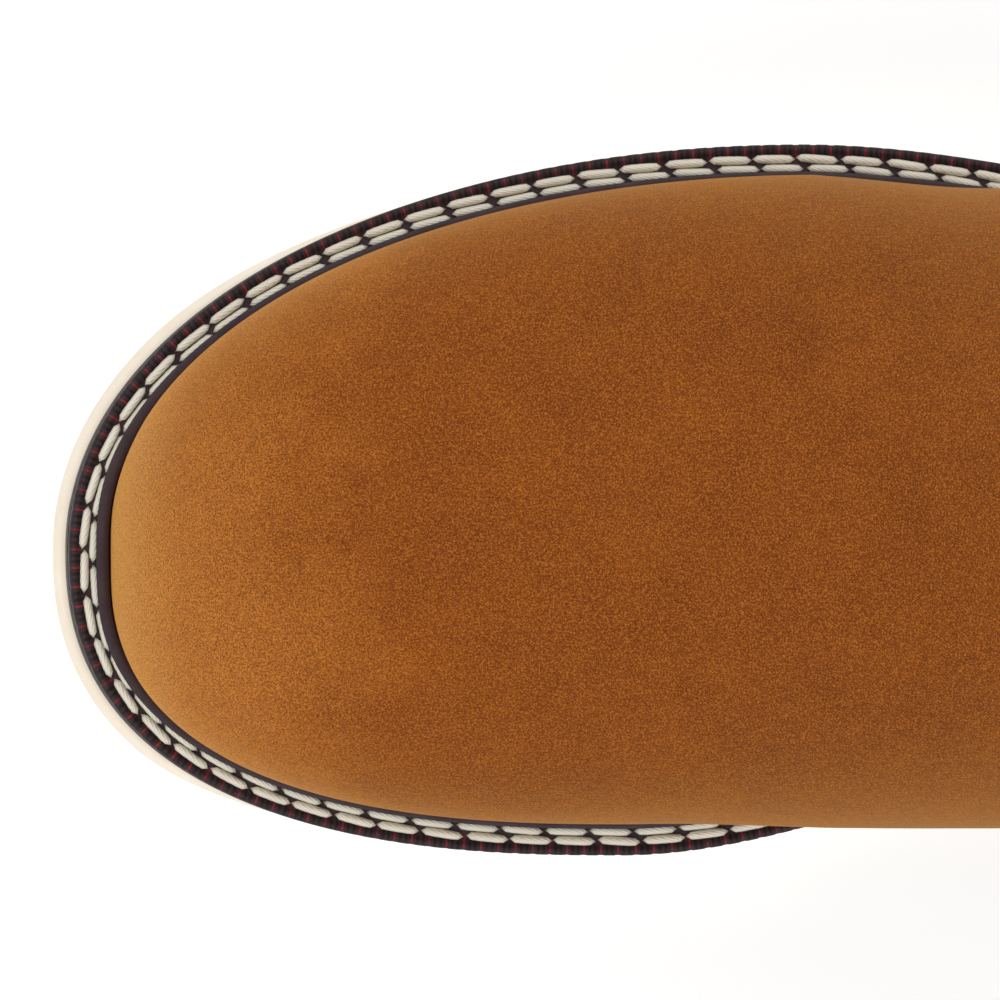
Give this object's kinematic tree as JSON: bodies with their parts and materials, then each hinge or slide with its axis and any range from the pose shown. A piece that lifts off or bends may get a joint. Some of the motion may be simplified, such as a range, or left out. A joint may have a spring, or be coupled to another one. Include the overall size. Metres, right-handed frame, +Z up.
{
  "type": "steel toe work boot",
  "caption": "Right pull-on steel toe work boot in tan nubuck with a plain round toe, stitched storm welt, pull loops and a wedge outsole.",
  "frame": {"origin": "on the ground under the centre of the sole's length and width", "axes": "+X towards the toe, +Y towards the big toe side, +Z up"},
  "size_m": [0.3056, 0.114, 0.288],
  "materials": {
    "nubuck": "napped tan nubuck",
    "lining": "brushed textile",
    "dark_rubber": "satin dark brown",
    "cream_rubber": "matte cream",
    "thread": "waxed thread",
    "steel": "plain",
    "fibreboard": "plain bonded leather board",
    "cork": "granulated cork",
    "foam": "closed-cell foam",
    "webbing": "woven brown webbing"
  },
  "bodies": {
    "boot": {"vamp": "nubuck", "counter_cover": "nubuck", "shaft_front": "nubuck", "shaft_back": "nubuck", "piping_medial": "nubuck", "piping_lateral": "nubuck", "collar_binding": "nubuck", "steel_toe_cap": "steel", "toe_cap_guard": "foam", "vamp_interlining": "fibreboard", "heel_counter": "fibreboard", "lining": "lining", "storm_welt": "dark_rubber", "welt_stitching_outer": "thread", "welt_stitching_inner": "thread", "midsole": "dark_rubber", "wedge_outsole": "cream_rubber", "insole_rib": "fibreboard", "cork_filler": "cork", "steel_shank": "steel", "insole_board": "fibreboard", "loop_tail_medial": "webbing", "loop_tail_lateral": "webbing"},
    "footbed": {"footbed_foam": "foam", "footbed_cover": "lining"},
    "pull_loop_medial": {"pull_loop_medial": "webbing"},
    "pull_loop_lateral": {"pull_loop_lateral": "webbing"}
  },
  "joints": [
    {"name": "footbed_lift", "type": "hinge", "parent": "boot", "child": "footbed", "pos_m": [0.1342, 0, 0.0345], "axis": [0, 1, 0], "range_deg": [0, 10]},
    {"name": "pull_loop_medial_fold", "type": "hinge", "parent": "boot", "child": "pull_loop_medial", "pos_m": [-0.08152, 0.03713, 0.264], "axis": [1, 0, 0], "range_deg": [-55, 55], "stiffness_Nm_per_rad": 0.01},
    {"name": "pull_loop_lateral_fold", "type": "hinge", "parent": "boot", "child": "pull_loop_lateral", "pos_m": [-0.08152, -0.03713, 0.264], "axis": [1, 0, 0], "range_deg": [-55, 55], "stiffness_Nm_per_rad": 0.01}
  ]
}
